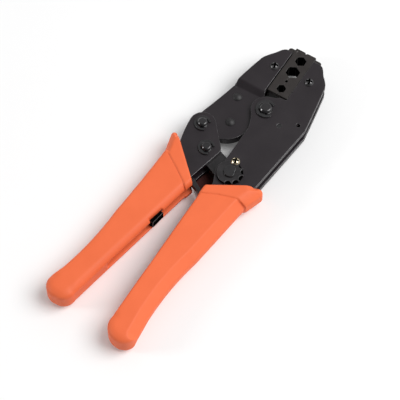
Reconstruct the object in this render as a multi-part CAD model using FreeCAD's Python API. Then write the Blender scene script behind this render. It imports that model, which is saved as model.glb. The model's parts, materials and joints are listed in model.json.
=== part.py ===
import FreeCAD, Part
import os
from math import atan2, cos, degrees, hypot, pi, radians, sin
from FreeCAD import Vector

# Ratchet hex crimping tool for coaxial connectors, lying flat on its back.
# Everything is drawn about the main pivot: +Y runs up the joint between the dies,
# +X points at the fixed handle, z = 0 is the middle of the steel frame.
# PLACE then moves the finished pieces so that the tool rests on z = 0.

# ---- driving dimensions, millimetres ----
PLACE = Vector(9.10, 65.41, 9.0)

PLATE = 3.0                    # thickness of every frame plate
GAP = 6.0                      # room between the two plates of a pair
DEEP = 10.0                    # cutting depth that passes every plate
SIDE_PLAY = 0.05               # play beside a piece that turns between plates
BORE_PLAY = 0.05               # radial play of a turning bore
INNER = GAP / 2
OUTER = INNER + PLATE

JAW_PIVOT = (0.0, 0.0)
HANDLE_PIVOT = (-28.1, -30.1)
TOGGLE_PIVOT = (-16.6, -43.7)
WHEEL_AXIS = (5.5, -51.5)
ECCENTRICITY = 0.5
LINK_PIVOT = (WHEEL_AXIS[0] - ECCENTRICITY, WHEEL_AXIS[1])
PAWL_PIVOT = (-20.3, -64.9)

MAIN_PIN_R = 4.0
PIN_R = 3.15
PAWL_PIN_R = 1.75
RIVET_R = 2.0
SPACER_R = 3.2

DIE_BOTTOM = 14.0
DIE_TOP = 50.9
DIE_HEAD_W = 7.3               # width of the die head that fills the gap beside the jaw plates
DIE_HEAD_HALF_T = 5.2
DIE_FACE_GAP = 0.03            # each closed die stops this far from the joint line
FIXED_DIE_SCREW = (12.9, 31.8)
MOVING_DIE_SCREW = (-12.0, 30.8)
HEXES = ((43.4, 6.48), (33.4, 8.1), (19.0, 5.41))      # height, width across flats
PIN_DIE = (25.5, 1.73)                                 # height, bore diameter
DIE_DIMPLE = (-4.4, 48.4)

LINK_HALF_W = 6.6
LINK_HALF_T = 2.8
EYE_ROOM = 0.45                # radial room of the link's eye round the toggle pin
EYE_SHIFT = 0.3
EYE_HALF_L = 1.0
TOOTH_TIP_R = 10.0
TOOTH_DEPTH = 0.9
TOOTH_COUNT = 11
TOOTH_PITCH = 6.6              # degrees
PAWL_ANGLE = -100.0            # direction of the pawl from the toggle pivot
PAWL_NOSE_GAP = 0.15
PAWL_HALF_T = 1.9

GRIP_HALF_T = 8.5
COLLAR_HALF_T = 9.0
BODY_BEVEL = 3.4
SLOT_HALF_W = 3.3
GUARD_INSET = 0.4              # the guard behind the linkage stays this far inside the collar's back
TANG_END = -140.0


# ---- drawing helpers ----
def vec(point, z=0.0):
    return Vector(point[0], point[1], z)


def polar(centre, radius, angle):
    return (centre[0] + radius * cos(radians(angle)), centre[1] + radius * sin(radians(angle)))


def disc(centre, radius, z0, z1):
    return Part.makeCylinder(radius, z1 - z0, vec(centre, z0))


def ring(centre, outer, inner, z0, z1):
    return disc(centre, outer, z0, z1).cut(disc(centre, inner, z0 - 1, z1 + 1))


def block(x0, y0, z0, x1, y1, z1):
    return Part.makeBox(x1 - x0, y1 - y0, z1 - z0, Vector(x0, y0, z0))


def outline(steps):
    """Closed face from (x, y) corners; ("arc", middle, end) bows through middle and
    ("curve", points...) runs a smooth curve through its points."""
    edges = []
    here = steps[0]
    for step in steps[1:] + [steps[0]]:
        if step[0] == "arc":
            edges.append(Part.Arc(vec(here), vec(step[1]), vec(step[2])).toShape())
            here = step[2]
        elif step[0] == "curve":
            curve = Part.BSplineCurve()
            curve.interpolate([vec(p) for p in (here,) + step[1:]])
            edges.append(curve.toShape())
            here = step[-1]
        elif hypot(step[0] - here[0], step[1] - here[1]) > 1e-6:
            edges.append(Part.makeLine(vec(here), vec(step)))
            here = step
    return Part.Face(Part.Wire(edges))


def slab(face, z0, z1):
    return face.extrude(Vector(0, 0, z1 - z0)).translated(Vector(0, 0, z0))


def mirrored_x(shape):
    return shape.mirror(Vector(0, 0, 0), Vector(1, 0, 0))


def mirrored_z(shape):
    return shape.mirror(Vector(0, 0, 0), Vector(0, 0, 1))


def drilled(shape, holes):
    for centre, radius in holes:
        shape = shape.cut(disc(centre, radius, -20, 20))
    return shape


def tidy(shape):
    shape = shape.removeSplitter()
    if len(shape.Solids) == 1:
        return shape.Solids[0]
    return shape


# ---- bought-in fasteners ----
CLIP_T = 1.0
MAIN_CLIP_R = 6.5
PIN_CLIP_R = 5.3
GROOVE_DEPTH = 0.7
PIN_END = 2.0                  # how far a pin stands past its clip groove
HEAD_T = 2.0
HEAD_RIM = 1.6                 # how far a pin head stands out round its pin
SPRING_WIRE_R = 0.3
HOOK_EYE_R = 0.9
HOOK_MOUTH = 0.9
HOOK_MOUTH_L = 5.0
MAIN_HEAD_T = COLLAR_HALF_T - OUTER      # the tool rests on this head and on its collars
TIP_CHAMFER = 0.8
MAIN_TIP_CHAMFER = 1.0
RECESS_REACH = 0.72            # arm of a screw's cross recess, as a share of the head's radius
RECESS_HALF_W = 0.6
RECESS_DEPTH = 1.4


def grooved_pin(centre, radius, tip=TIP_CHAMFER, head=HEAD_T):
    """Pin with a head behind the rear plate and a clip groove before the front one."""
    top = OUTER + CLIP_T + PIN_END
    pin = disc(centre, radius, -OUTER, top)
    end = pin.Edges[0]
    for edge in pin.Edges:
        if edge.BoundBox.ZMin > top - 0.01:
            end = edge
    pin = pin.makeChamfer(tip, [end])
    pin = pin.fuse(disc(centre, radius + HEAD_RIM, -OUTER - head, -OUTER))
    groove = ring(centre, radius + 1, radius - GROOVE_DEPTH, OUTER, OUTER + CLIP_T)
    return pin.cut(groove)


def spring_clip(centre, pin_radius, outer, opening, z0=OUTER):
    """E-shaped retaining clip, open towards the angle `opening`."""
    bore = pin_radius - GROOVE_DEPTH
    clip = ring(centre, outer, pin_radius + 0.7, z0, z0 + CLIP_T)
    mouth = Part.makeCylinder(outer + 1, CLIP_T + 2, vec(centre, z0 - 1), Vector(0, 0, 1), 84)
    mouth.rotate(vec(centre), Vector(0, 0, 1), opening - 42)
    clip = clip.cut(mouth)
    for turn in (100, 180, 260):
        tooth = block(bore, -1.1, z0, pin_radius + 1.2, 1.1, z0 + CLIP_T)
        tooth.rotate(Vector(0, 0, 0), Vector(0, 0, 1), opening + turn)
        clip = clip.fuse(tooth.translated(vec(centre)).cut(disc(centre, bore, z0 - 1, z0 + 2)))
    return tidy(clip)


def cross_screw(centre, shank, head, z_seat, z_end, height=2.2):
    """Pan head screw with a cross recess, its head on z_seat and its shank down to z_end."""
    dome_r = (head ** 2 + height ** 2) / (2 * height)
    dome = Part.makeSphere(dome_r, vec(centre, z_seat + height - dome_r))
    screw = disc(centre, head, z_seat, z_seat + height).common(dome)
    screw = screw.fuse(disc(centre, shank, z_end, z_seat))
    arm = head * RECESS_REACH
    for turn in (20, 110):
        cut = block(-arm, -RECESS_HALF_W, z_seat + height - RECESS_DEPTH,
                    arm, RECESS_HALF_W, z_seat + height + 1)
        cut.rotate(Vector(0, 0, 0), Vector(0, 0, 1), turn)
        screw = screw.cut(cut.translated(vec(centre)))
    return tidy(screw)


def dome_rivet(centre, shank, head, z_face, height):
    """Rivet with a domed head on each face of a stack that reaches z_face both ways."""
    dome_r = (head ** 2 + height ** 2) / (2 * height)
    rivet = disc(centre, shank, -z_face, z_face)
    cap = Part.makeSphere(dome_r, vec(centre, z_face + height - dome_r))
    cap = cap.common(disc(centre, head, z_face, z_face + height))
    return tidy(rivet.fuse(cap).fuse(mirrored_z(cap)))


def shouldered(centre, radius, shoulder, end=OUTER):
    """Spacer between two plates with an end in each plate."""
    return tidy(disc(centre, shoulder, -INNER, INNER).fuse(disc(centre, radius, -end, end)))


def coil_tube(start, end, outer, hook):
    """Close-wound extension spring drawn as a tube with a straight hook at each end."""
    wire = 2 * SPRING_WIRE_R
    run = vec(end) - vec(start)
    along = Vector(run.x, run.y, 0).normalize()
    body = Part.makeCylinder(outer, run.Length - 2 * hook, vec(start) + along * hook, along)
    body = body.cut(Part.makeCylinder(outer - wire, run.Length, vec(start), along))
    for tip, way in ((vec(start), 1), (vec(end), -1)):
        cap = Part.makeCylinder(outer, wire, tip + along * (way * hook), along * way)
        stem = Part.makeCylinder(SPRING_WIRE_R, hook, tip, along * way)
        body = body.fuse(cap).fuse(stem)
    return tidy(body)


def hook_eye(centre, towards):
    """Hole for a spring hook with a narrow mouth that lets the wire in from the rim."""
    mouth = block(0, -HOOK_MOUTH / 2, -5, HOOK_MOUTH_L, HOOK_MOUTH / 2, 5)
    way = degrees(atan2(towards[1] - centre[1], towards[0] - centre[0]))
    mouth.rotate(Vector(0, 0, 0), Vector(0, 0, 1), way)
    return disc(centre, HOOK_EYE_R, -5, 5).fuse(mouth.translated(vec(centre)))


# ---- frame, the fixed side ----
FRAME_DOWEL = (13.3, -6.0)
FIXED_RIVETS = ((11.6, -88.0), (5.5, -128.0))
RETURN_POST = (9.5, -108.0)
RETURN_HOOK = (8.9, -106.0)
POST_R = 1.5
DOWEL_R = 1.5
DOWEL_SHOULDER_R = 3.0
DOWEL_SUNK = 0.4               # how far the dowel stops below the faces of the plates
DIE_SCREW_R = 2.0
SCREW_HEAD_R = 3.1
WHEEL_R = 8.4
NOTCH_R = 2.0
NOTCH_COUNT = 6
NOTCH_ANGLE = 98.0             # direction of the first notch, the one with the lock screw
NOTCH_PITCH = 33.3
WHEEL_T = 2.0
LOCK_SCREW = polar(WHEEL_AXIS, WHEEL_R - 0.2, NOTCH_ANGLE)
LOCK_SHANK_R = 1.5
LOCK_HEAD_R = 2.9
LOCK_HEAD_H = 1.8
FRAME_HOLE = (23.3, 0.6)
FRAME_HOLE_R = 1.3
FRAME_LOBE_R = 9.6
WHEEL_LOBE_R = 9.7


def frame_plate_face():
    lobe = [polar(JAW_PIVOT, FRAME_LOBE_R, a) for a in (112, 180, 224)]
    wheel = [polar(WHEEL_AXIS, WHEEL_LOBE_R, a) for a in (144, 180, 216)]
    return outline([
        (7.5, 47.2), (12.0, 47.2), ("curve", (14.2, 46.4), (16.3, 44.0), (19.7, 39.6)),
        (21.8, 37.0), ("arc", (23.2, 34.6), (23.9, 31.6)), ("arc", (27.4, 10.5), (29.1, -0.9)),
        (24.1, -49.1),
        ("curve", (22.6, -57.0), (18.6, -72.0), (15.5, -97.0), (12.0, -125.0), (11.0, TANG_END)),
        (0.0, TANG_END), (0.0, -63.0), wheel[2], ("arc", wheel[1], wheel[0]), (-2.3, -42.0),
        (-2.3, -18.0), ("curve", (-3.9, -12.6), lobe[2]), ("arc", lobe[1], lobe[0]),
        (-0.7, 10.0), ("curve", (1.2, 10.9), (2.8, 12.2)), (7.5, 12.7)])


def frame_plate():
    plate = slab(frame_plate_face(), INNER, OUTER)
    holes = [(JAW_PIVOT, MAIN_PIN_R), (WHEEL_AXIS, MAIN_PIN_R), (FIXED_DIE_SCREW, DIE_SCREW_R),
             (FRAME_DOWEL, DOWEL_R), (FRAME_HOLE, FRAME_HOLE_R), (RETURN_POST, POST_R)]
    holes += [(rivet, RIVET_R) for rivet in FIXED_RIVETS]
    return tidy(drilled(plate, holes))


def adjuster_pin():
    """Eccentric pin: its ends turn in the frame plates and its middle carries the link."""
    end_z = OUTER + 3.2
    pin = disc(WHEEL_AXIS, MAIN_PIN_R, INNER, end_z).fuse(disc(WHEEL_AXIS, MAIN_PIN_R, -OUTER - 2.0, -INNER))
    pin = pin.fuse(disc(LINK_PIVOT, MAIN_PIN_R, -INNER, INNER))
    return tidy(pin.cut(d_flat(OUTER)).cut(
        ring(WHEEL_AXIS, MAIN_PIN_R + 1, MAIN_PIN_R - GROOVE_DEPTH, -OUTER - CLIP_T, -OUTER)))


def d_flat(z0):
    flat = block(2.9, -6, z0, 8, 6, 20)
    flat.rotate(Vector(0, 0, 0), Vector(0, 0, 1), 15)
    return flat.translated(vec(WHEEL_AXIS))


def adjuster_wheel():
    """Notched wheel on the D end of the eccentric pin; the lock screw sits in one notch."""
    wheel = disc(WHEEL_AXIS, WHEEL_R, OUTER, OUTER + WHEEL_T)
    for turn in range(NOTCH_COUNT):
        notch = polar(WHEEL_AXIS, WHEEL_R, NOTCH_ANGLE - NOTCH_PITCH * turn)
        wheel = wheel.cut(disc(notch, NOTCH_R, OUTER - 1, OUTER + 3))
    bore = disc(WHEEL_AXIS, MAIN_PIN_R, OUTER - 1, OUTER + 4).cut(d_flat(OUTER - 1))
    return tidy(wheel.cut(bore))


# ---- dies ----
def die(screw):
    """Right half of the split die: a head almost level with the plates and a shank between them."""
    head = outline([
        (DIE_FACE_GAP, DIE_BOTTOM), (DIE_HEAD_W, DIE_BOTTOM), (DIE_HEAD_W, DIE_TOP - 0.4),
        (DIE_HEAD_W - 0.4, DIE_TOP), (0.9, DIE_TOP), (DIE_FACE_GAP, DIE_TOP - 0.9)])
    shank = outline([
        (4.0, 16.5), (11.9, 16.5), (11.9, 21.5), (17.0, 21.5), (17.0, 39.5), (11.9, 39.5), (11.9, 48.9),
        ("arc", (11.37, 50.17), (10.1, 50.7)), (4.0, 50.7)])
    body = slab(head, -DIE_HEAD_HALF_T, DIE_HEAD_HALF_T)
    body = body.fuse(slab(shank, -INNER + SIDE_PLAY, INNER - SIDE_PLAY))
    for height, flats in HEXES:
        corners = [polar((0, height), flats / (2 * cos(pi / 6)), 90 + 60 * k) for k in range(6)]
        body = body.cut(slab(outline(corners), -DEEP, DEEP))
    body = body.cut(disc((0, PIN_DIE[0]), PIN_DIE[1] / 2, -DEEP, DEEP))
    return tidy(body.cut(disc(screw, DIE_SCREW_R, -DEEP, DEEP)))


def moving_die():
    """Left half, with a shallow round witness mark near its top corner."""
    plain = mirrored_x(die((-MOVING_DIE_SCREW[0], MOVING_DIE_SCREW[1])))
    return plain.cut(disc(DIE_DIMPLE, 1.4, DIE_HEAD_HALF_T - 0.25, DEEP))


# ---- moving jaw ----
JAW_RIVETS = ((-20.9, 0.0), (-15.0, -18.3))
DOME_R = 3.2
DOME_H = 1.6
JAW_LOBE_R = 7.8
JAW_HUB_R = 7.3
JOGGLE = (7.4, 10.5)           # heights between which the plate steps outwards


def jaw_plate_face():
    lobe = [polar(HANDLE_PIVOT, JAW_LOBE_R, a) for a in (172, 225, 290)]
    hub = [polar(JAW_PIVOT, JAW_HUB_R, a) for a in (-35, 30, 90)]
    return outline([
        (-7.7, 12.5), (-7.7, 45.4), ("arc", (-8.0, 46.1), (-8.7, 46.4)), (-11.4, 46.4),
        ("curve", (-13.3, 45.5), (-14.8, 43.9), (-18.2, 38.9)), (-20.9, 35.0),
        ("arc", (-22.1, 32.8), (-22.8, 30.2)), ("arc", (-25.6, 17.4), (-26.8, JOGGLE[1])),
        (-27.0, JOGGLE[0]), ("arc", (-29.9, -5.4), (-33.6, -19.3)), lobe[0], ("arc", lobe[1], lobe[2]),
        (-13.6, -31.9), ("arc", (-7.6, -28.2), (-3.3, -20.8)), ("curve", (0.5, -12.0), hub[0]),
        ("arc", hub[1], hub[2]), (-6.9, 7.3), (-6.2, 8.2)])


def jaw_plate():
    """Front jaw plate: outside level beside the die, one plate lower round the pivot."""
    low = INNER - SIDE_PLAY
    profile = [(-60, 0), (JOGGLE[0], 0), (JOGGLE[1], INNER), (60, INNER), (60, OUTER),
               (JOGGLE[1], OUTER), (JOGGLE[0], low), (-60, low)]
    corners = [Vector(-60, y, z) for y, z in profile]
    strip = Part.Face(Part.makePolygon(corners + corners[:1])).extrude(Vector(80, 0, 0))
    plate = slab(jaw_plate_face(), -1, OUTER + 1).common(strip)
    holes = [(JAW_PIVOT, MAIN_PIN_R + BORE_PLAY), (HANDLE_PIVOT, PIN_R + BORE_PLAY),
             (MOVING_DIE_SCREW, DIE_SCREW_R)]
    holes += [(rivet, RIVET_R) for rivet in JAW_RIVETS]
    return tidy(drilled(plate, holes))


# ---- moving handle ----
HANDLE_LOBE_R = 8.5
MOVING_RIVETS = ((-27.5, -84.0), (-32.0, -128.0))
SPRING_ANCHOR = (-20.9, -99.5)


def handle_plate_face():
    lobe = [polar(HANDLE_PIVOT, HANDLE_LOBE_R, a) for a in (45, 110, 190)]
    return outline([
        lobe[0], ("arc", lobe[1], lobe[2]), ("curve", (-35.3, -39.7), (-33.2, -48.0)),
        (-32.8, -54.0), ("curve", (-32.9, -75.0), (-34.2, -105.0), (-37.0, TANG_END)),
        (-28.2, TANG_END), (-13.5, -66.0), (-8.3, -43.2), ("arc", (-8.3, -40.4), (-9.8, -38.0))])


def handle_plate():
    holes = [(HANDLE_PIVOT, PIN_R), (TOGGLE_PIVOT, PIN_R), (PAWL_PIVOT, PAWL_PIN_R)]
    holes += [(rivet, RIVET_R) for rivet in MOVING_RIVETS]
    return tidy(drilled(slab(handle_plate_face(), INNER, OUTER), holes))


def spring_anchor():
    """Bridge between the handle plates with a tab that shows in the slot of the grip."""
    x, y = SPRING_ANCHOR
    anchor = slab(outline([(x - 3.5, y - 5), (x + 4.2, y - 5), (x + 5.6, y + 4.6), (x - 3.5, y + 4.6)]),
                  -INNER, INNER)
    return tidy(anchor.cut(block(x - 1.5, y + 2.0, -0.7, x + 1.5, y + 6, 0.7)))


# ---- toggle link and pawl ----
LINK_EYE = polar(LINK_PIVOT, 6.4, -150)
PAWL_EYE = (-21.2, -70.4)
PAWL_HOOK = (SPRING_ANCHOR[0], SPRING_ANCHOR[1] + 3.5)


def toggle_link():
    """Link from the toggle pin to the eccentric pin, toothed round its toggle end."""
    reach = hypot(LINK_PIVOT[0] - TOGGLE_PIVOT[0], LINK_PIVOT[1] - TOGGLE_PIVOT[1])
    tilt = degrees(atan2(LINK_PIVOT[1] - TOGGLE_PIVOT[1], LINK_PIVOT[0] - TOGGLE_PIVOT[0]))
    bar = block(0, -LINK_HALF_W, -LINK_HALF_T, reach, LINK_HALF_W, LINK_HALF_T)
    bar.rotate(Vector(0, 0, 0), Vector(0, 0, 1), tilt)
    link = bar.translated(vec(TOGGLE_PIVOT))
    link = link.fuse(disc(TOGGLE_PIVOT, LINK_HALF_W, -LINK_HALF_T, LINK_HALF_T))
    link = link.fuse(disc(LINK_PIVOT, 8.6, -LINK_HALF_T, LINK_HALF_T))
    link = link.fuse(ratchet_sector())
    link = link.cut(disc(LINK_PIVOT, MAIN_PIN_R + BORE_PLAY, -5, 5))
    return tidy(link.cut(toggle_slot()).cut(hook_eye(LINK_EYE, RETURN_HOOK)))


def ratchet_sector():
    first = PAWL_ANGLE - 1.5
    root = TOOTH_TIP_R - TOOTH_DEPTH
    points = [TOGGLE_PIVOT]
    for tooth in range(TOOTH_COUNT):
        angle = first - tooth * TOOTH_PITCH
        points.append(polar(TOGGLE_PIVOT, root, angle))
        points.append(polar(TOGGLE_PIVOT, TOOTH_TIP_R, angle - TOOTH_PITCH / 2))
    points.append(polar(TOGGLE_PIVOT, root, first - TOOTH_COUNT * TOOTH_PITCH))
    return slab(outline(points), -LINK_HALF_T, LINK_HALF_T)


def toggle_slot():
    """Eye of the link, longer than its pin so that the opened linkage never binds."""
    x = TOGGLE_PIVOT[0] + EYE_SHIFT
    radius = PIN_R + EYE_ROOM
    low, high = TOGGLE_PIVOT[1] - EYE_HALF_L, TOGGLE_PIVOT[1] + EYE_HALF_L
    slot = disc((x, low), radius, -5, 5).fuse(disc((x, high), radius, -5, 5))
    return slot.fuse(block(x - radius, low, -5, x + radius, high, 5))


def pawl():
    """Pawl that stands square to the toothed end, with a tail that reaches the fixed handle."""
    nose = polar(TOGGLE_PIVOT, TOOTH_TIP_R + PAWL_NOSE_GAP, PAWL_ANGLE)
    nose_l = polar(TOGGLE_PIVOT, TOOTH_TIP_R + 2.2, PAWL_ANGLE - 6)
    nose_r = polar(TOGGLE_PIVOT, TOOTH_TIP_R + 2.2, PAWL_ANGLE + 6)
    x, y = PAWL_PIVOT
    body = slab(outline([
        nose, nose_l, (x - 3.2, y + 1.5), ("arc", (x - 3.5, y - 0.4), (x - 3.0, y - 2.0)),
        (x - 2.6, y - 7.2), (x + 0.8, y - 7.4), (x + 3.0, y - 2.4), (-10.0, -69.3), (-5.5, -71.1),
        (-3.0, -72.1), (-3.0, -70.0), (-5.4, -68.5), (-10.0, -65.9), (-14.5, -63.4), (x + 2.6, y + 2.4), nose_r]),
        -PAWL_HALF_T, PAWL_HALF_T)
    body = body.cut(disc(PAWL_PIVOT, PAWL_PIN_R + BORE_PLAY, -5, 5))
    return tidy(body.cut(hook_eye(PAWL_EYE, PAWL_HOOK)))


# ---- grips ----
def grip(body, collar, cavity, slot):
    """Moulded sleeve over a handle: body, thicker collar, room for the plates, inner slot."""
    sleeve = body.fuse(collar)
    for hollow in (cavity, slot):
        sleeve = sleeve.cut(hollow)
    return tidy(sleeve)


def bevelled_slab(face, half, bevel):
    """Plate of thickness 2 x half with its front and back rims bevelled."""
    body = slab(face, -half, half)
    rims = [edge for edge in body.Edges if edge.BoundBox.ZLength < 0.01]
    return body.makeChamfer(bevel, rims)


def fixed_grip():
    """Grip of the frame; the back of its collar carries a thin guard behind the linkage."""
    body = outline([
        (-3.2, -71.0), (-2.2, -169.0), ("arc", (0.2, -177.9), (7.6, -181.7)),
        ("arc", (14.2, -179.3), (16.5, -172.6)), (15.2, -158.0), ("arc", (15.6, -134.0), (18.9, -111.0)),
        (24.3, -66.5), (24.6, -60.5), (6.0, -65.0)])
    collar = outline([
        (-3.4, -67.6), (24.0, -51.0), ("arc", (27.6, -50.4), (29.6, -53.4)), (25.3, -65.6),
        (19.5, -65.3), (8.0, -69.0), (-3.4, -74.4)])
    slot = block(-8, -148.0, -SLOT_HALF_W, 1.0, -60, SLOT_HALF_W)
    guard = outline([(-3.0, -72.5), (-10.0, -66.8), (-13.6, -63.6), (-13.4, -60.6), (-12.5, -57.8),
                     (-12.0, -54.4), (-10.6, -50.6), (-5.0, -49.8), (-2.2, -57.6), (4.0, -64.0)])
    sleeve = grip(bevelled_slab(body, GRIP_HALF_T, BODY_BEVEL), bevelled_slab(collar, COLLAR_HALF_T, 2.0),
                  slab(frame_plate_face(), -OUTER, OUTER), slot)
    return tidy(sleeve.fuse(slab(guard, -COLLAR_HALF_T + GUARD_INSET, -OUTER - SIDE_PLAY)))


def moving_grip():
    """Grip of the handle, with its slot along the side that faces the frame."""
    body = outline([
        (-37.4, -60.0), ("arc", (-38.2, -86.0), (-39.7, -112.0)), ("arc", (-41.0, -137.0), (-44.6, -158.5)),
        (-47.4, -167.0), ("arc", (-45.6, -175.0), (-38.3, -177.3)), ("arc", (-32.2, -175.6), (-29.6, -169.5)),
        (-11.2, -70.0), (-20.0, -64.0)])
    collar = outline([
        (-40.8, -46.4), ("arc", (-39.9, -44.4), (-37.2, -45.1)), (-10.2, -69.9), (-11.6, -75.9),
        (-24.0, -67.0), (-37.4, -60.4)])
    slot = outline([(-14.5, -60), (-5, -60), (-16, -148), (-29.8, -148)])
    return grip(bevelled_slab(body, GRIP_HALF_T, BODY_BEVEL), bevelled_slab(collar, COLLAR_HALF_T, 1.4),
                slab(handle_plate_face(), -OUTER, OUTER), slab(slot, -SLOT_HALF_W, SLOT_HALF_W))


def export_all():
    os.makedirs("parts", exist_ok=True)
    frame = frame_plate()
    front_jaw = jaw_plate()
    front_handle = handle_plate()
    pieces = {
        "frame_plate_front": drilled(frame, [(LOCK_SCREW, LOCK_SHANK_R)]),
        "frame_plate_rear": mirrored_z(frame),
        "frame_dowel": shouldered(FRAME_DOWEL, DOWEL_R, DOWEL_SHOULDER_R, OUTER - DOWEL_SUNK),
        "fixed_tang_rivets": Part.makeCompound([shouldered(rivet, RIVET_R, SPACER_R) for rivet in FIXED_RIVETS]),
        "fixed_die": die(FIXED_DIE_SCREW),
        "fixed_die_screw": cross_screw(FIXED_DIE_SCREW, DIE_SCREW_R, SCREW_HEAD_R, OUTER, -OUTER),
        "main_pivot_pin": grooved_pin(JAW_PIVOT, MAIN_PIN_R, MAIN_TIP_CHAMFER, MAIN_HEAD_T),
        "main_pivot_clip": spring_clip(JAW_PIVOT, MAIN_PIN_R, MAIN_CLIP_R, 15),
        "adjuster_pin": adjuster_pin(),
        "adjuster_wheel": adjuster_wheel(),
        "adjuster_lock_screw": cross_screw(
            LOCK_SCREW, LOCK_SHANK_R, LOCK_HEAD_R, OUTER + WHEEL_T, INNER, LOCK_HEAD_H),
        "adjuster_clip": spring_clip(WHEEL_AXIS, MAIN_PIN_R, MAIN_CLIP_R, -90, -OUTER - CLIP_T),
        "return_spring_post": disc(RETURN_POST, POST_R, -OUTER, OUTER),
        "return_spring": coil_tube(LINK_EYE, RETURN_HOOK, 2.0, 6.5),
        "fixed_grip": fixed_grip(),
        "jaw_plate_front": front_jaw,
        "jaw_plate_rear": mirrored_z(front_jaw),
        "jaw_rivets": Part.makeCompound(
            [dome_rivet(rivet, RIVET_R, DOME_R, INNER - SIDE_PLAY, DOME_H) for rivet in JAW_RIVETS]),
        "moving_die": moving_die(),
        "moving_die_screw": cross_screw(MOVING_DIE_SCREW, DIE_SCREW_R, SCREW_HEAD_R, OUTER, -OUTER),
        "handle_plate_front": front_handle,
        "handle_plate_rear": mirrored_z(front_handle),
        "handle_pin": grooved_pin(HANDLE_PIVOT, PIN_R),
        "handle_pin_clip": spring_clip(HANDLE_PIVOT, PIN_R, PIN_CLIP_R, -4),
        "toggle_pin": grooved_pin(TOGGLE_PIVOT, PIN_R),
        "toggle_pin_clip": spring_clip(TOGGLE_PIVOT, PIN_R, PIN_CLIP_R, -4),
        "pawl_pin": disc(PAWL_PIVOT, PAWL_PIN_R, -OUTER, OUTER),
        "spring_anchor": spring_anchor(),
        "pawl_spring": coil_tube(PAWL_EYE, PAWL_HOOK, 2.0, 4.0),
        "moving_tang_rivets": Part.makeCompound([shouldered(rivet, RIVET_R, SPACER_R) for rivet in MOVING_RIVETS]),
        "moving_grip": moving_grip(),
        "toggle_link": toggle_link(),
        "pawl": pawl(),
    }
    for name, shape in pieces.items():
        shape.translated(PLACE).exportStep("parts/" + name + ".step")


export_all()
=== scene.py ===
import json
import math

import bmesh
import bpy
import numpy as np
from mathutils import Matrix, Vector

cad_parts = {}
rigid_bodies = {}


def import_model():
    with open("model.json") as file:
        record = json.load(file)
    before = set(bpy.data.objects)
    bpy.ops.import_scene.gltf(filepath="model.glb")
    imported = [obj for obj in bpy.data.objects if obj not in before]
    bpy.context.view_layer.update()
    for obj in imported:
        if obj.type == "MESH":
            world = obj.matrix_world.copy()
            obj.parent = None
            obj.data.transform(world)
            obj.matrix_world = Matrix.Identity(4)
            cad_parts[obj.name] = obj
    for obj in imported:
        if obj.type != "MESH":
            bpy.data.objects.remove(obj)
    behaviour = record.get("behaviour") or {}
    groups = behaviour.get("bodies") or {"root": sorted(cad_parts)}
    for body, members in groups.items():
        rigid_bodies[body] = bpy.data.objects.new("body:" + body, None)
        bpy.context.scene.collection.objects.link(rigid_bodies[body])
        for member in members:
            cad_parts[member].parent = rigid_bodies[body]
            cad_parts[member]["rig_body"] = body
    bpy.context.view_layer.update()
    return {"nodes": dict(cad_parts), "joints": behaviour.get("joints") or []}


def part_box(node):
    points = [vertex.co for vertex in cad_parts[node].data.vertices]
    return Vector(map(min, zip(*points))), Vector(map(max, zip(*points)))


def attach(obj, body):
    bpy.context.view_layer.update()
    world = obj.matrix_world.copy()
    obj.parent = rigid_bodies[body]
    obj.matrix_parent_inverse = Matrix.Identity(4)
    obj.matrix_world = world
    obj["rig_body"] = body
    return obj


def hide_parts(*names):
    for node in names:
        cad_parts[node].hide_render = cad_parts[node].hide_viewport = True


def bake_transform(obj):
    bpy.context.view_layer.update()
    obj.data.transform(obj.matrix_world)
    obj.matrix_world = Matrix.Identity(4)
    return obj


# Looks of the ratchet crimping tool. Plan outlines are in millimetres about the jaw pivot,
# the same way round as the frame: +Y up the joint of the dies, +X towards the fixed handle.

MM = 0.001
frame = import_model()
nodes = frame["nodes"]
joints = {joint["name"]: joint for joint in frame["joints"]}
PIVOT = Vector(joints["jaw_pivot"]["pos_m"])


# ---- materials ----
def link(tree, source, target):
    tree.links.new(source, target)


def new_node(tree, kind, **settings):
    node = tree.nodes.new(kind)
    for key, value in settings.items():
        if key in node.inputs:
            node.inputs[key].default_value = value
        else:
            setattr(node, key, value)
    return node


def ramp(tree, source, stops):
    node = tree.nodes.new("ShaderNodeValToRGB")
    elements = node.color_ramp.elements
    while len(elements) < len(stops):
        elements.new(0.5)
    for element, (place, value) in zip(elements, stops):
        element.position = place
        element.color = value if len(value) == 4 else (*value, 1.0)
    link(tree, source, node.inputs["Fac"])
    return node.outputs["Color"]


def grey(value):
    return (value, value, value, 1.0)


def noise(tree, coords, scale, detail=4.0, rough=0.55):
    node = new_node(tree, "ShaderNodeTexNoise", Scale=scale, Detail=detail, Roughness=rough)
    link(tree, coords, node.inputs["Vector"])
    return node.outputs["Fac"]


COAT_ROUGHNESS = 0.2
PATCH_STOPS = (0.3, 0.7)        # noise values where the darker patches end and the lighter ones begin


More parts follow.
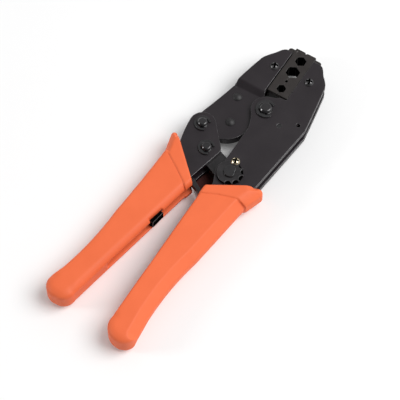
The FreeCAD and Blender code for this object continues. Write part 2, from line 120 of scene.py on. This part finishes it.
def finish_material(name, dark, light, rough, patch, grain, bump, metallic=0.0, coat=0.0,
                    specular=0.5, glow=0.0):
    """Principled surface: colour runs from dark to light and roughness over `rough` by a broad
    noise of `patch` per metre, and a fine noise of `grain` per metre lifts the surface by `bump` metres."""
    made = bpy.data.materials.new(name)
    made.use_nodes = True
    tree = made.node_tree
    shader = tree.nodes["Principled BSDF"]
    shader.inputs["Metallic"].default_value = metallic
    shader.inputs["Coat Weight"].default_value = coat
    shader.inputs["Coat Roughness"].default_value = COAT_ROUGHNESS
    shader.inputs["Specular IOR Level"].default_value = specular
    shader.inputs["Emission Color"].default_value = grey(1.0)
    shader.inputs["Emission Strength"].default_value = glow
    coords = new_node(tree, "ShaderNodeTexCoord").outputs["Object"]
    broad = noise(tree, coords, patch)
    colour = ramp(tree, broad, list(zip(PATCH_STOPS, (dark, light))))
    gloss = ramp(tree, broad, list(zip(PATCH_STOPS, (grey(rough[0]), grey(rough[1])))))
    link(tree, colour, shader.inputs["Base Color"])
    link(tree, gloss, shader.inputs["Roughness"])
    fine = noise(tree, coords, grain, detail=3.0, rough=0.6)
    lift = new_node(tree, "ShaderNodeBump", Strength=1.0, Distance=bump)
    link(tree, fine, lift.inputs["Height"])
    link(tree, lift.outputs["Normal"], shader.inputs["Normal"])
    return made


PLATE = finish_material("black_plate", (0.0082, 0.0048, 0.0074), (0.0112, 0.0070, 0.0098),
                        (0.36, 0.44), 60, 2600, 0.0000035)
# lighter, metallic edge colour: partly rubbed bare steel, partly painted highlight
PLATE_EDGE_WEAR_AND_SHEEN = finish_material("plate_edge_wear_and_sheen", (0.045, 0.043, 0.045), (0.095, 0.092, 0.095),
                             (0.24, 0.34), 400, 3000, 0.000003, metallic=0.6)
DIE = finish_material("die_steel", (0.0115, 0.0078, 0.0068), (0.0165, 0.0120, 0.0105),
                      (0.40, 0.50), 130, 3200, 0.000005)
DIE_EDGE = finish_material("die_edge", (0.03, 0.027, 0.026), (0.06, 0.056, 0.054),
                           (0.30, 0.40), 400, 3000, 0.000003, metallic=0.5)
PIN = finish_material("blued_pin", (0.006, 0.0055, 0.0065), (0.010, 0.0092, 0.0106),
                      (0.14, 0.22), 300, 2600, 0.000003, coat=0.7)
RIVET = finish_material("rivet_head", (0.008, 0.0070, 0.0082), (0.012, 0.0106, 0.0120),
                        (0.50, 0.60), 300, 2600, 0.000004)
CLIP = finish_material("spring_clip", (0.010, 0.0098, 0.0108), (0.016, 0.0158, 0.0170),
                       (0.24, 0.34), 300, 2600, 0.000003, coat=0.3)
SCREW = finish_material("black_screw", (0.035, 0.0335, 0.035), (0.06, 0.058, 0.06),
                        (0.26, 0.36), 300, 2600, 0.000002, metallic=0.3, coat=0.4)
PLATED = finish_material("plated_screw", (0.60, 0.50, 0.33), (0.78, 0.70, 0.54),
                         (0.16, 0.28), 500, 2600, 0.000004, metallic=1.0)
OILED = finish_material("hardened_steel", (0.009, 0.0078, 0.0088), (0.014, 0.0124, 0.0138),
                        (0.30, 0.42), 200, 2600, 0.000004)
WIRE = finish_material("spring_wire", (0.30, 0.30, 0.31), (0.42, 0.42, 0.43),
                       (0.24, 0.34), 500, 2600, 0.000003, metallic=1.0)
# near-black: painted shade in recesses, nest walls and notches and on the spring anchor
PAINTED_SHADE_BLACK = finish_material("painted_shade_black", (0.0015, 0.0015, 0.0015), (0.0025, 0.0024, 0.0025),
                         (0.80, 0.90), 600, 2600, 0.000003, specular=0.0)
ORANGE = finish_material("orange_grip", (0.77, 0.140, 0.046), (0.82, 0.154, 0.053),
                         (0.52, 0.60), 45, 1700, 0.000010, specular=0.3)
# darker orange: painted shade on the wall inside the grips' slots
ORANGE_PAINTED_SHADE = finish_material("orange_grip_painted_shade", (0.44, 0.056, 0.018), (0.52, 0.068, 0.022),
                               (0.60, 0.70), 60, 1700, 0.000010, specular=0.2)
# near-black orange: painted shadow on the guard sheet behind the linkage
ORANGE_PAINTED_SHADOW = finish_material("guard_painted_shadow", (0.050, 0.013, 0.011), (0.070, 0.019, 0.016),
                        (0.60, 0.70), 60, 1700, 0.000010, specular=0.2)
FLOOR = finish_material("pale_floor", (0.80, 0.80, 0.80), (0.82, 0.82, 0.82),
                        (0.75, 0.85), 3, 900, 0.00001, specular=0.2, glow=0.09)


# ---- mesh helpers ----
def add_object(name, mesh, body=None):
    made = bpy.data.objects.new(name, mesh)
    bpy.context.scene.collection.objects.link(made)
    if body:
        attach(made, body)
    return made


def smooth_normals(made):
    for polygon in made.data.polygons:
        polygon.use_smooth = True
    weighted = made.modifiers.new("weighted_normals", "WEIGHTED_NORMAL")
    weighted.keep_sharp = True
    weighted.weight = 100
    return made


def sharp_edges(form, sharp):
    return [e for e in form.edges
            if len(e.link_faces) == 2 and e.calc_face_angle(0.0) > math.radians(sharp)]


CROSS_R = 2.45                 # the cross lies within this radius, millimetres
CROSS_REACH_DOWN = 1.6         # and within this depth of the head's top
CROSS_FLOOR = 1.1              # faces deeper than this are its floor
WALL_TILT = 0.35               # faces whose normal rises less than this are walls


def in_recess(node):
    """Picks the walls and the floor of the cross recess in a screw's head, which get painted shade."""
    low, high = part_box(node)
    middle = (low + high) / 2

    def pick(face):
        centre = face.calc_center_median()
        deep = face.normal.z < WALL_TILT or centre.z < high.z - CROSS_FLOOR * MM
        near = (centre - middle).xy.length < CROSS_R * MM and centre.z > high.z - CROSS_REACH_DOWN * MM
        return near and deep
    return pick


def upright(face):
    return abs(face.normal.z) < 0.3


NESTS_Y = (15.0, 48.5)         # span of the nests along the joint of the dies
NEST_HALF_W = 6.0
JOINT_HALF_W = 0.1             # faces nearer the joint than this are the flats between the nests


def in_nest(face):
    """Picks the walls of the nests, which lie inside the closed dies and get painted shade."""
    place = (face.calc_center_median() - PIVOT) / MM
    return upright(face) and JOINT_HALF_W < abs(place.x) < NEST_HALF_W and NESTS_Y[0] < place.y < NESTS_Y[1]


WELD = 2e-6                    # metres; corners nearer than this are one corner
FLAT = math.radians(0.6)       # faces that meet within this angle are one face
FOLD_SEGMENTS = 7


def rounded_copy(node, face_material, edge_material, width, segments=3, sharp=28.0, fold=0.0, dark=None,
                 edge_slot=1):
    """The CAD node's own shape with every sharp edge rounded off, as it leaves the press or the lathe.
    Bends between two faces that both look up or down are rounded by `fold`; faces that `dark` picks
    lie in shade and get the near-black painted shade in slot 2."""
    form = bmesh.new()
    form.from_mesh(nodes[node].data)
    bmesh.ops.remove_doubles(form, verts=form.verts, dist=WELD)
    bmesh.ops.dissolve_limit(form, angle_limit=FLAT, verts=form.verts, edges=form.edges)
    # faces in shade get the near-black painted shade of slot 2
    if dark:
        for face in form.faces:
            face.material_index = 2 if dark(face) else 0
    if fold:
        bends = [e for e in sharp_edges(form, sharp) if all(abs(f.normal.z) > 0.3 for f in e.link_faces)]
        bmesh.ops.bevel(form, geom=bends, offset=fold * MM, offset_type="OFFSET", segments=FOLD_SEGMENTS,
                        profile=0.5, affect="EDGES", clamp_overlap=False, material=-1)
    bmesh.ops.bevel(form, geom=sharp_edges(form, sharp), offset=width * MM, offset_type="OFFSET",
                    segments=segments, profile=0.5, affect="EDGES", clamp_overlap=False, material=edge_slot)
    bmesh.ops.recalc_face_normals(form, faces=form.faces)
    mesh = bpy.data.meshes.new(node + "_look")
    form.to_mesh(mesh)
    form.free()
    for material in (face_material, edge_material, PAINTED_SHADE_BLACK):
        mesh.materials.append(material)
    made = add_object(node + "_look", mesh, nodes[node]["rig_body"])
    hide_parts(node)
    return smooth_normals(made)


for plate in ("frame_plate_front", "frame_plate_rear", "handle_plate_front", "handle_plate_rear"):
    rounded_copy(plate, PLATE, PLATE_EDGE_WEAR_AND_SHEEN, 0.3)
for plate in ("jaw_plate_front", "jaw_plate_rear"):
    rounded_copy(plate, PLATE, PLATE_EDGE_WEAR_AND_SHEEN, 0.3, fold=1.3)
# the nest walls of the dies get near-black painted shade
for part in ("fixed_die", "moving_die"):
    rounded_copy(part, DIE, DIE_EDGE, 0.18, segments=2, dark=in_nest)
for part in ("main_pivot_pin", "handle_pin", "toggle_pin", "adjuster_pin"):
    rounded_copy(part, PIN, PIN, 0.28)
for part in ("main_pivot_clip", "handle_pin_clip", "toggle_pin_clip", "adjuster_clip"):
    rounded_copy(part, CLIP, CLIP, 0.2)
# the wheel's upright faces, notch walls among them, get near-black painted shade
rounded_copy("adjuster_wheel", OILED, PLATE_EDGE_WEAR_AND_SHEEN, 0.22, dark=upright)
rounded_copy("toggle_link", OILED, PLATE_EDGE_WEAR_AND_SHEEN, 0.25)
rounded_copy("pawl", OILED, PLATE_EDGE_WEAR_AND_SHEEN, 0.25)
# the anchor's faces get near-black painted shade; its rounded edges stay hardened steel
rounded_copy("spring_anchor", PAINTED_SHADE_BLACK, OILED, 0.3)
# the cross recesses of the screws get near-black painted shade
for part in ("fixed_die_screw", "moving_die_screw"):
    rounded_copy(part, SCREW, SCREW, 0.07, segments=2, dark=in_recess(part), edge_slot=-1)
rounded_copy("adjuster_lock_screw", PLATED, PLATED, 0.07, segments=2, dark=in_recess("adjuster_lock_screw"),
             edge_slot=-1)
rounded_copy("jaw_rivets", RIVET, RIVET, 0.2)
for part in ("frame_dowel", "return_spring_post", "pawl_pin", "fixed_tang_rivets", "moving_tang_rivets"):
    nodes[part].data.materials.clear()
    nodes[part].data.materials.append(PIN)


# ---- springs ----
WIRE_R = 0.3
COIL_R = 1.65
COIL_PITCH = 0.66
COIL_STEPS = 14                # path points a turn
HOOK_STEPS = 8                 # path points along a hook
WIRE_SIDES = 6


def wound_spring(node, start, end, hook):
    """Close-wound extension spring from eye to eye in place of the CAD tube."""
    here, there = Vector((*start, 0.0)), Vector((*end, 0.0))
    along = (there - here).normalized()
    side, lift = Vector((-along.y, along.x, 0.0)), Vector((0.0, 0.0, 1.0))
    length = (there - here).length
    form = bmesh.new()
    rings = []
    count = int((length - 2 * hook) / COIL_PITCH * COIL_STEPS)
    runs = [(hook * k / HOOK_STEPS, 0.0) for k in range(HOOK_STEPS)]
    runs += [(hook + (length - 2 * hook) * k / count, 1.0) for k in range(count + 1)]
    runs += [(length - hook + hook * k / HOOK_STEPS, 0.0) for k in range(1, HOOK_STEPS + 1)]
    for s, wound in runs:
        turn = math.tau * (min(max(s, hook), length - hook) - hook) / COIL_PITCH
        out = side * math.cos(turn) + lift * math.sin(turn)
        swirl = lift * math.cos(turn) - side * math.sin(turn)
        tangent = (swirl * (wound * COIL_R) + along * (COIL_PITCH / math.tau)).normalized()
        across = tangent.cross(out)
        centre = here + along * s + out * (wound * COIL_R)
        ring = []
        for k in range(WIRE_SIDES):
            angle = math.tau * k / WIRE_SIDES
            skin = centre + out * (WIRE_R * math.cos(angle)) + across * (WIRE_R * math.sin(angle))
            ring.append(form.verts.new(PIVOT + skin * MM))
        rings.append(ring)
    for first, second in zip(rings[:-1], rings[1:]):
        for k in range(WIRE_SIDES):
            form.faces.new((first[k - 1], first[k], second[k], second[k - 1]))
    form.faces.new(rings[0])
    form.faces.new(rings[-1])
    bmesh.ops.recalc_face_normals(form, faces=form.faces)
    mesh = bpy.data.meshes.new(node + "_look")
    form.to_mesh(mesh)
    form.free()
    mesh.materials.append(WIRE)
    for polygon in mesh.polygons:
        polygon.use_smooth = True
    made = add_object(node + "_look", mesh)
    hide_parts(node)
    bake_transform(made)


wound_spring("return_spring", (-0.54, -54.7), (8.9, -106.0), 6.5)
wound_spring("pawl_spring", (-21.2, -70.4), (-20.9, -96.0), 4.0)


# ---- painted shade in the notches of the wheel ----
SHADE_DISC_R = 8.1
SHADE_DISC_BORE_R = 4.3
SHADE_DISC_T = 0.2
SHADE_DISC_SIDES = 64


def wheel_shade_disc():
    """Thin near-black disc between the notched wheel and the plate: painted shade seen in the notches."""
    low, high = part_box("adjuster_wheel")
    middle = (low + high) / 2
    form = bmesh.new()
    rings = []
    for radius in (SHADE_DISC_BORE_R, SHADE_DISC_R):
        rings.append([form.verts.new((middle.x + radius * MM * math.cos(math.tau * k / SHADE_DISC_SIDES),
                                      middle.y + radius * MM * math.sin(math.tau * k / SHADE_DISC_SIDES), low.z))
                      for k in range(SHADE_DISC_SIDES)])
    for k in range(SHADE_DISC_SIDES):
        form.faces.new((rings[0][k - 1], rings[1][k - 1], rings[1][k], rings[0][k]))
    raised = bmesh.ops.extrude_face_region(form, geom=form.faces[:])
    bmesh.ops.translate(form, vec=(0.0, 0.0, SHADE_DISC_T * MM),
                        verts=[v for v in raised["geom"] if isinstance(v, bmesh.types.BMVert)])
    bmesh.ops.recalc_face_normals(form, faces=form.faces)
    mesh = bpy.data.meshes.new("adjuster_painted_shade")
    form.to_mesh(mesh)
    form.free()
    mesh.materials.append(PAINTED_SHADE_BLACK)
    made = add_object("adjuster_painted_shade", mesh, "frame")


wheel_shade_disc()


# ---- moulded grips ----
STEP = 0.5      # edge of a sampling cell, millimetres
MARGIN = 3 * STEP              # empty cells kept round the grip
FACE_BLEND = 0.6               # room over which neighbouring facets of a face run together


def arc(start, through, end, count=14):
    """Points of the circular arc from start through a middle point to end, without its start."""
    (ax, ay), (bx, by), (cx, cy) = start, through, end
    d = 2 * (ax * (by - cy) + bx * (cy - ay) + cx * (ay - by))
    ux = ((ax**2 + ay**2) * (by - cy) + (bx**2 + by**2) * (cy - ay) + (cx**2 + cy**2) * (ay - by)) / d
    uy = ((ax**2 + ay**2) * (cx - bx) + (bx**2 + by**2) * (ax - cx) + (cx**2 + cy**2) * (bx - ax)) / d
    radius = math.hypot(ax - ux, ay - uy)
    a0, a1, a2 = (math.atan2(y - uy, x - ux) for x, y in (start, through, end))
    turn = (a2 - a0) % (2 * math.pi)
    if (a1 - a0) % (2 * math.pi) > turn:
        turn -= 2 * math.pi
    return [(ux + radius * math.cos(a0 + turn * k / count), uy + radius * math.sin(a0 + turn * k / count))
            for k in range(1, count + 1)]


def chain(steps):
    """Polyline from corners; ("arc", through, end) bows to its end."""
    points = [steps[0]]
    for step in steps[1:]:
        points += arc(points[-1], step[1], step[2]) if step[0] == "arc" else [step]
    return points


def distance_to(points, x, y):
    """Distance from the grid x, y to a polyline."""
    best = np.full(x.shape, 1e9)
    for (ax, ay), (bx, by) in zip(points[:-1], points[1:]):
        dx, dy = bx - ax, by - ay
        t = np.clip(((x - ax) * dx + (y - ay) * dy) / (dx * dx + dy * dy), 0, 1)
        best = np.minimum(best, np.hypot(x - ax - t * dx, y - ay - t * dy))
    return best


def inside(points, x, y):
    found = np.zeros(x.shape, bool)
    for (ax, ay), (bx, by) in zip(points, points[1:] + points[:1]):
        if ay != by:
            found ^= ((ay > y) != (by > y)) & (x < (bx - ax) * (y - ay) / (by - ay) + ax)
    return found


def soft_max(a, b, room):
    h = np.clip(0.5 + 0.5 * (a - b) / room, 0, 1)
    return b + (a - b) * h + room * h * (1 - h)


def soft_min(a, b, room):
    return -soft_max(-a, -b, room)


def moulding(rims, half, x, y, z, corner=0.9):
    """Field of a moulded slab, negative inside. Each rim is (polyline, reach, wall, fullness): the face
    falls away over `reach` towards that rim and meets a straight side of half height `wall` there,
    as a flat facet at fullness 1 and as a quarter round at fullness 2."""
    loop = [p for points, *_ in rims for p in points[:-1]]
    edge = np.min([distance_to(points, x, y) for points, *_ in rims], axis=0)
    edge = np.where(inside(loop, x, y), -edge, edge)
    face = np.full(x.shape, half)
    for points, reach, wall, fullness in rims:
        t = np.clip(distance_to(points, x, y) / reach, 0, 1)
        rise = (1 - (1 - t) ** fullness) ** (1 / fullness)
        face = soft_min(face, wall + (half - wall) * rise, FACE_BLEND)
    return soft_max(edge[:, :, None], np.abs(z)[None, None, :] - face[:, :, None], corner)


def surface_of(field, low, step):
    """Surface nets: vertices (metres, row frame) and quads of the field's zero surface."""
    total = np.zeros([n - 1 for n in field.shape] + [3])
    count = np.zeros([n - 1 for n in field.shape])
    grid = np.stack(np.meshgrid(*[np.arange(n) for n in field.shape], indexing="ij"), -1).astype(float)
    quads = []
    crossings = []
    for axis in range(3):
        first = tuple(slice(0, -1) if k == axis else slice(None) for k in range(3))
        second = tuple(slice(1, None) if k == axis else slice(None) for k in range(3))
        f0, f1 = field[first], field[second]
        cut = (f0 < 0) != (f1 < 0)
        place = grid[first].copy()
        place[..., axis] += np.where(cut, f0 / np.where(cut, f0 - f1, 1.0), 0.0)
        others = [k for k in range(3) if k != axis]
        for shift in ((0, 0), (0, 1), (1, 0), (1, 1)):
            take = [slice(None)] * 3
            put = [slice(None)] * 3
            for k, s in zip(others, shift):
                take[k] = slice(0, -1) if s == 0 else slice(1, None)
            sub = cut[tuple(take)]
            total[tuple(put)] += place[tuple(take)] * sub[..., None]
            count[tuple(put)] += sub
        crossings.append((axis, others, cut, f0 < 0))
    number = np.full(count.shape, -1)
    active = count > 0
    number[active] = np.arange(active.sum())
    for axis, others, cut, filled in crossings:
        at = np.argwhere(cut)
        keep = np.all(at[:, others] > 0, axis=1)
        keep &= np.all(at[:, others] < np.array(field.shape)[others] - 1, axis=1)
        at = at[keep]
        b, c = others
        corner = []
        for db, dc in ((0, 0), (1, 0), (1, 1), (0, 1)):
            cell = at.copy()
            cell[:, b] -= db
            cell[:, c] -= dc
            corner.append(number[tuple(cell.T)])
        quad = np.stack(corner, 1)
        flip = filled[tuple(at.T)] ^ (axis == 1)
        quad[flip] = quad[flip][:, ::-1]
        quads.append(quad)
    points = total[active] / count[active][:, None] * step + np.array(low)
    return points, np.concatenate(quads)


def moulded_grip(name, node, body, build, shade):
    """Samples build(x, y, z) round the CAD grip and skins its zero surface. The function shade(place)
    picks the finish of each face."""
    low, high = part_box(node)
    start = [(low[k] - PIVOT[k]) / MM - MARGIN for k in range(3)]
    stop = [(high[k] - PIVOT[k]) / MM + MARGIN for k in range(3)]
    axes = [np.arange(a, b, STEP) for a, b in zip(start, stop)]
    x, y = np.meshgrid(axes[0], axes[1], indexing="ij")
    points, quads = surface_of(build(x, y, axes[2]), start, STEP)
    mesh = bpy.data.meshes.new(name)
    mesh.from_pydata([Vector(p) * MM + PIVOT for p in points], [], quads.tolist())
    for finish in (ORANGE, ORANGE_PAINTED_SHADE, ORANGE_PAINTED_SHADOW):
        mesh.materials.append(finish)
    made = add_object(name, mesh, body)
    for polygon in mesh.polygons:
        polygon.use_smooth = True
        polygon.material_index = shade((polygon.center - PIVOT) / MM)
    relax = made.modifiers.new("relax", "SMOOTH")
    relax.factor = 0.5
    relax.iterations = 4
    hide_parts(node)
    return made


BODY_HALF = 8.5
COLLAR_HALF = 9.0
SLOT_HALF = 3.3
GROOVE = 0.32
SEAM_BLEND = 0.35              # room over which body, collar and groove run together
SLOT_BLEND = 0.5               # the same at the slot's lips
GUARD_Z = -7.35                # middle of the guard's thickness, from the middle of the frame
GUARD_HALF_T = 1.2


def prism(outline, x, y):
    """Signed distance to a closed outline, negative inside."""
    return np.where(inside(outline, x, y), -1.0, 1.0) * distance_to(outline + outline[:1], x, y)


def grip_field(body_rims, collar_rims, seam, slot, x, y, z, window=None):
    """Body and collar run together, with a fine groove on the seam, the slot along the inner side and,
    where there is one, a window through the front lip of the slot."""
    field = soft_min(moulding(body_rims, BODY_HALF, x, y, z),
                     moulding(collar_rims, COLLAR_HALF, x, y, z, corner=0.6), SEAM_BLEND)
    above = 0.6 * (np.abs(z) - BODY_HALF)[None, None, :]
    ditch = GROOVE - np.hypot(distance_to(seam, x, y)[:, :, None], above)
    field = soft_max(field, ditch, SEAM_BLEND)
    opening = soft_max(prism(slot, x, y)[:, :, None], (np.abs(z) - SLOT_HALF)[None, None, :], SLOT_BLEND)
    if window:
        opening = np.minimum(opening, np.maximum(prism(window, x, y)[:, :, None], -z[None, None, :]))
    return soft_max(field, -opening, SLOT_BLEND)


def fixed_grip(x, y, z):
    """Field of the frame's grip and of the thin guard sheet behind the linkage, which carries painted
    shadow.
    """
    inner = chain([(-3.2, -69.0), (-2.2, -169.0)])
    end = chain([(-2.2, -169.0), ("arc", (-0.3, -178.0), (7.3, -181.6)),
                 ("arc", (14.2, -179.4), (16.6, -172.6))])
    outer = chain([(16.6, -172.6), (15.2, -158.0), ("arc", (15.6, -134.0), (18.9, -111.0)), (24.3, -66.5),
                   (24.6, -60.0)])
    top = chain([(24.6, -60.0), (-3.2, -69.0)])
    collar_top = chain([(-3.4, -67.6), (24.0, -51.0)])
    collar_end = chain([(24.0, -51.0), ("arc", (27.6, -50.4), (29.6, -53.4)), (25.3, -65.6)])
    collar_low = chain([(25.3, -65.6), (19.5, -65.3), (8.0, -69.0), (-3.4, -74.4)])
    collar_in = chain([(-3.4, -74.4), (-3.4, -67.6)])
    slot = [(-9.0, -148.0), (0.6, -148.0), (0.6, -40.0), (-9.0, -40.0)]
    field = grip_field([(inner, 2.6, 5.4, 2.0), (end, 8.5, 5.0, 2.0), (outer, 5.9, 2.4, 1.0),
                        (top, 1.0, 8.0, 2.0)],
                       [(collar_top, 1.4, 7.6, 2.0), (collar_end, 7.5, 3.4, 1.35),
                        (collar_low, 0.9, 8.2, 2.0), (collar_in, 2.4, 5.6, 2.0)],
                       collar_low, slot, x, y, z)
    guard = [(-3.0, -72.5), (-10.0, -66.8), (-13.6, -63.6), (-13.4, -60.6), (-12.5, -57.8), (-12.0, -54.4),
             (-10.6, -50.6), (-5.0, -49.8), (-2.2, -57.6), (4.0, -64.0)]
    flat = (np.abs(z - GUARD_Z) - GUARD_HALF_T)[None, None, :]
    sheet = soft_max(prism(guard, x, y)[:, :, None], flat, SLOT_BLEND)
    return soft_min(field, sheet, SLOT_BLEND)


def moving_grip(x, y, z):
    """Field of the handle's grip; the pawl's tail passes through its window."""
    outer = chain([(-37.6, -58.0), ("arc", (-38.4, -86.0), (-39.8, -112.0)),
                   ("arc", (-41.2, -137.0), (-44.9, -158.5)), (-47.7, -167.0)])
    end = chain([(-47.7, -167.0), ("arc", (-46.1, -175.0), (-38.3, -177.6)),
                 ("arc", (-32.2, -175.6), (-29.6, -169.5))])
    inner = chain([(-29.6, -169.5), (-11.2, -70.0)])
    top = chain([(-11.2, -70.0), (-37.6, -58.0)])
    collar_tip = chain([(-37.4, -60.4), (-41.0, -46.4), ("arc", (-40.1, -44.1), (-37.0, -44.9))])
    collar_top = chain([(-37.0, -44.9), (-10.3, -69.8)])
    collar_in = chain([(-10.3, -69.8), (-11.7, -75.6)])
    collar_low = chain([(-11.7, -75.6), (-17.5, -71.5), (-24.1, -67.0), (-34.0, -60.8), (-37.4, -60.4)])
    slot = [(-14.5, -60.0), (-5.0, -60.0), (-16.0, -141.8), (-29.2, -141.8)]
    window = [(-10.0, -94.4), (-17.1, -94.4), (-19.4, -105.2), (-10.0, -105.2)]
    return grip_field([(outer, 3.6, 4.6, 2.0), (end, 8.5, 4.6, 2.0), (inner, 4.6, 4.6, 1.4),
                       (top, 1.0, 8.0, 2.0)],
                      [(collar_tip, 5.0, 4.0, 1.3), (collar_top, 1.2, 7.8, 2.0), (collar_in, 3.6, 4.6, 2.0),
                       (collar_low, 0.9, 8.2, 2.0)],
                      collar_low, slot, x, y, z, window)


# finishes on a grip: plain orange, painted shade in the slot, painted shadow on the guard
PLAIN, SHADED, GUARD_SHADOW = 0, 1, 2       # the order of the finishes on a grip
# the slot's wall within this height gets painted shade
SHADE_Z = (-2.4, SLOT_HALF + 0.3)      # height of the darker wall seen inside a slot


def fixed_shade(place):
    """Guard at the back in painted shadow, painted shade on the wall inside the slot."""
    if place.z < -5.9 and place.y > -67.0 + 0.35 * (place.x + 3.7) and place.x < -2.0:
        return GUARD_SHADOW
    if SHADE_Z[0] < place.z < SHADE_Z[1] and -2.6 < place.x < 1.5 and place.y > -148.6:
        return SHADED
    return PLAIN


def moving_shade(place):
    """Painted shade on the wall inside the slot, between the slot's root and the grip's rim."""
    rim = -11.2 + (place.y + 70.0) * 0.185
    root = -15.3 + (place.y + 60.0) * 0.18
    if SHADE_Z[0] < place.z < SHADE_Z[1] and -142.4 < place.y < -60.0 and root < place.x < rim - 0.5:
        return SHADED
    return PLAIN


moulded_grip("fixed_grip_look", "fixed_grip", "frame", fixed_grip, fixed_shade)
moulded_grip("moving_grip_look", "moving_grip", "handle", moving_grip, moving_shade)


# ---- floor, light and camera ----
FLOOR_HALF = 3.0
SKY_STRENGTH = 0.82
floor_mesh = bpy.data.meshes.new("floor")
floor_mesh.from_pydata([(x, y, 0.0) for x, y in ((-FLOOR_HALF, -FLOOR_HALF), (FLOOR_HALF, -FLOOR_HALF),
                                                 (FLOOR_HALF, FLOOR_HALF), (-FLOOR_HALF, FLOOR_HALF))],
                       [], [(0, 1, 2, 3)])
floor_mesh.materials.append(FLOOR)
floor = add_object("floor", floor_mesh)

world = bpy.data.worlds.new("studio")
world.use_nodes = True
bpy.context.scene.world = world
sky = world.node_tree
background = sky.nodes["Background"]
facing = new_node(sky, "ShaderNodeTexCoord").outputs["Generated"]
split = new_node(sky, "ShaderNodeSeparateXYZ")
link(sky, facing, split.inputs[0])
height_tone = ramp(sky, split.outputs["Z"], [(0.0, grey(1.0)), (0.45, grey(0.8)), (0.95, grey(0.45))])
depth = new_node(sky, "ShaderNodeMath", operation="MULTIPLY_ADD")
link(sky, split.outputs["Y"], depth.inputs[0])
depth.inputs[1].default_value = 0.5
depth.inputs[2].default_value = 0.5
depth_tone = ramp(sky, depth.outputs[0], [(0.0, grey(0.12)), (0.35, grey(0.5)), (0.7, grey(1.0))])
tone = new_node(sky, "ShaderNodeMixRGB", blend_type="MULTIPLY")
tone.inputs["Fac"].default_value = 1.0
link(sky, height_tone, tone.inputs["Color1"])
link(sky, depth_tone, tone.inputs["Color2"])
link(sky, tone.outputs["Color"], background.inputs["Color"])
background.inputs["Strength"].default_value = SKY_STRENGTH


def softbox(name, place, size, energy):
    data = bpy.data.lights.new(name, "AREA")
    data.size = size
    data.energy = energy
    lamp = add_object(name, data)
    lamp.location = place
    lamp.rotation_euler = (-Vector(place)).to_track_quat("-Z", "Y").to_euler()
    return lamp


softbox("key", (0.9, 0.5, 1.4), 1.3, 31.0)
softbox("glint", (-1.0, -0.75, 0.5), 0.35, 5.0)

AZIMUTH = math.radians(32.3)
ELEVATION = math.radians(61.3)
DEPTH = 0.950                  # metres from the camera to the plane of the anchor
LENS = 135.7
SENSOR = 36.0
ANCHOR_FROM_PIVOT = Vector((-0.0011, 0.0020, 0.0060))
ANCHOR_RIGHT = 0.04158         # the anchor stands this far right of and above the view's middle, metres
ANCHOR_UP = 0.05909
right = Vector((math.cos(AZIMUTH), math.sin(AZIMUTH), 0.0))
up = Vector((-math.sin(AZIMUTH) * math.sin(ELEVATION), math.cos(AZIMUTH) * math.sin(ELEVATION),
             math.cos(ELEVATION)))
ahead = Vector((-math.sin(AZIMUTH) * math.cos(ELEVATION), math.cos(AZIMUTH) * math.cos(ELEVATION),
                -math.sin(ELEVATION)))
anchor = PIVOT + ANCHOR_FROM_PIVOT
eye = anchor - right * ANCHOR_RIGHT - up * ANCHOR_UP - ahead * DEPTH
camera_data = bpy.data.cameras.new("camera")
camera_data.sensor_width = SENSOR
camera_data.lens = LENS
camera_data.clip_end = 20.0
camera = add_object("camera", camera_data)
camera.matrix_world = Matrix.Translation(eye) @ Matrix((right, up, -ahead)).transposed().to_4x4()
bpy.context.scene.camera = camera
bpy.context.scene.view_settings.view_transform = "Standard"
